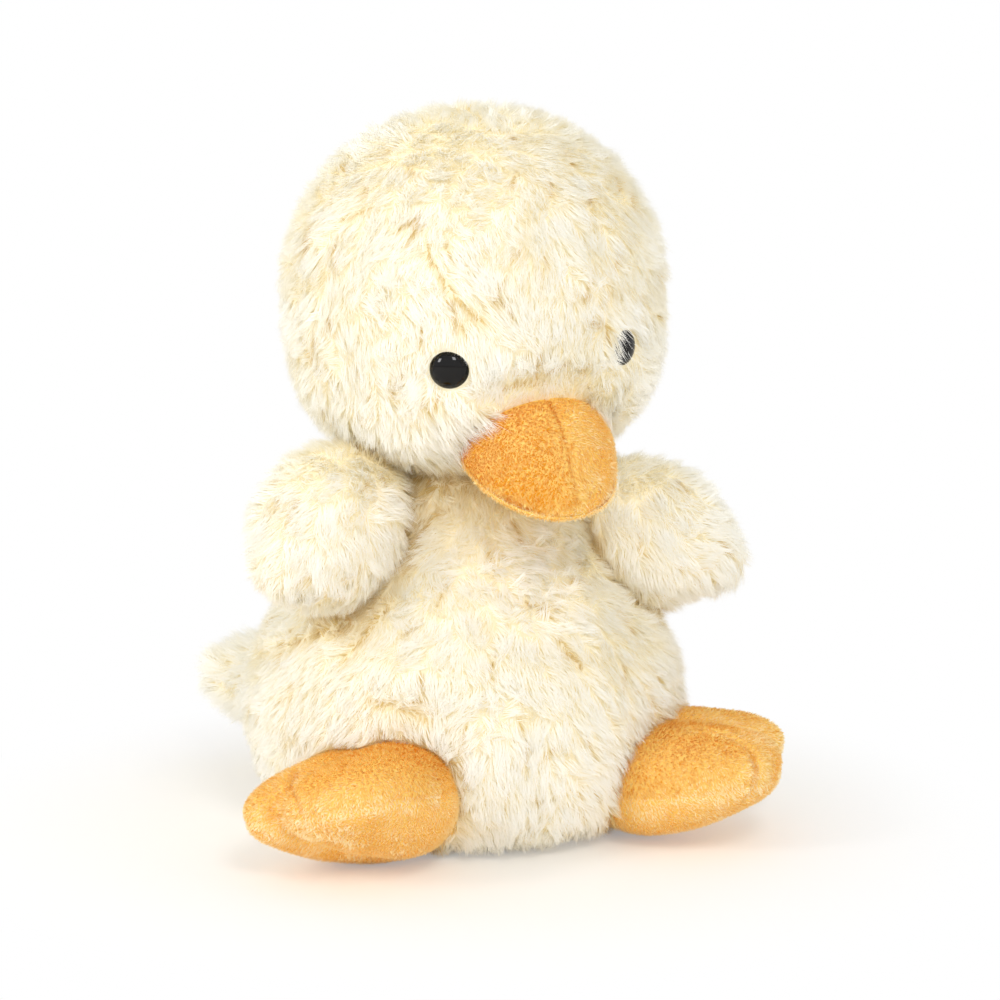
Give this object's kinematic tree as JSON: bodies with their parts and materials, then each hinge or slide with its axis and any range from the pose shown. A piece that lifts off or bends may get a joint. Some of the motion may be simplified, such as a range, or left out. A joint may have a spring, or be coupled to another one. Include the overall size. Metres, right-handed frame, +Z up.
{
  "type": "plush duck",
  "caption": "Small sitting plush duck with a round head, stub wings, padded beak and two-lobed feet.",
  "frame": {"origin": "centre of the flat seat under the body, on the surface that the toy sits on", "axes": "+Z up, -Y the way the duck faces, +X towards the duck's own left wing"},
  "size_m": [0.1161, 0.1208, 0.1479],
  "materials": {
    "cream_long_pile": "matte",
    "orange_velour": "matte",
    "light_orange_velour": "matte",
    "polyester_filling": "matte",
    "pouch_cloth": "matte",
    "black_eye_plastic": "gloss",
    "washer_plastic": "satin"
  },
  "bodies": {
    "torso": {"body_belly_panel": "cream_long_pile", "body_right_back_panel": "cream_long_pile", "body_left_back_panel": "cream_long_pile", "body_base_panel": "cream_long_pile", "body_stuffing": "polyester_filling", "pellet_pouch": "pouch_cloth"},
    "neck": {"neck_stuffing": "polyester_filling"},
    "head": {"head_gusset_panel": "cream_long_pile", "head_right_panel": "cream_long_pile", "head_left_panel": "cream_long_pile", "head_stuffing": "polyester_filling", "right_eye": "black_eye_plastic", "left_eye": "black_eye_plastic", "right_eye_washer": "washer_plastic", "left_eye_washer": "washer_plastic", "beak_upper_right_panel": "orange_velour", "beak_upper_left_panel": "orange_velour", "beak_lower_panel": "light_orange_velour", "beak_stuffing": "polyester_filling"},
    "left_wing": {"left_wing_front_panel": "cream_long_pile", "left_wing_back_panel": "cream_long_pile", "left_wing_stuffing": "polyester_filling"},
    "right_wing": {"right_wing_front_panel": "cream_long_pile", "right_wing_back_panel": "cream_long_pile", "right_wing_stuffing": "polyester_filling"},
    "left_foot": {"left_foot_upper_panel": "orange_velour", "left_foot_sole_panel": "light_orange_velour", "left_foot_stuffing": "polyester_filling"},
    "right_foot": {"right_foot_upper_panel": "orange_velour", "right_foot_sole_panel": "light_orange_velour", "right_foot_stuffing": "polyester_filling"},
    "tail": {"tail_upper_panel": "cream_long_pile", "tail_lower_panel": "cream_long_pile", "tail_stuffing": "polyester_filling"}
  },
  "joints": [
    {"name": "neck_turn", "type": "hinge", "parent": "torso", "child": "neck", "pos_m": [0, 0, 0.078], "axis": [0, 0, 1], "range_deg": [-15, 15], "stiffness_Nm_per_rad": 0.03},
    {"name": "neck_nod", "type": "hinge", "parent": "neck", "child": "head", "pos_m": [0, 0, 0.078], "axis": [1, 0, 0], "range_deg": [-12, 7], "stiffness_Nm_per_rad": 0.05},
    {"name": "left_wing_flap", "type": "hinge", "parent": "torso", "child": "left_wing", "pos_m": [0.027, -0.009, 0.06], "axis": [0, -1, 0], "range_deg": [-20, 5], "stiffness_Nm_per_rad": 0.02},
    {"name": "right_wing_flap", "type": "hinge", "parent": "torso", "child": "right_wing", "pos_m": [-0.027, -0.009, 0.067], "axis": [0, 1, 0], "range_deg": [-20, 5], "stiffness_Nm_per_rad": 0.02},
    {"name": "left_foot_lift", "type": "hinge", "parent": "torso", "child": "left_foot", "pos_m": [0.028, -0.023, 0.012], "axis": [-0.5878, -0.809, 0], "range_deg": [-15, 20], "stiffness_Nm_per_rad": 0.02},
    {"name": "right_foot_lift", "type": "hinge", "parent": "torso", "child": "right_foot", "pos_m": [-0.028, -0.023, 0.012], "axis": [-0.5878, 0.809, 0], "range_deg": [-15, 20], "stiffness_Nm_per_rad": 0.02},
    {"name": "tail_wag", "type": "hinge", "parent": "torso", "child": "tail", "pos_m": [-0.007, 0.041, 0.02], "axis": [0, 0, 1], "range_deg": [-15, 15], "stiffness_Nm_per_rad": 0.01}
  ]
}
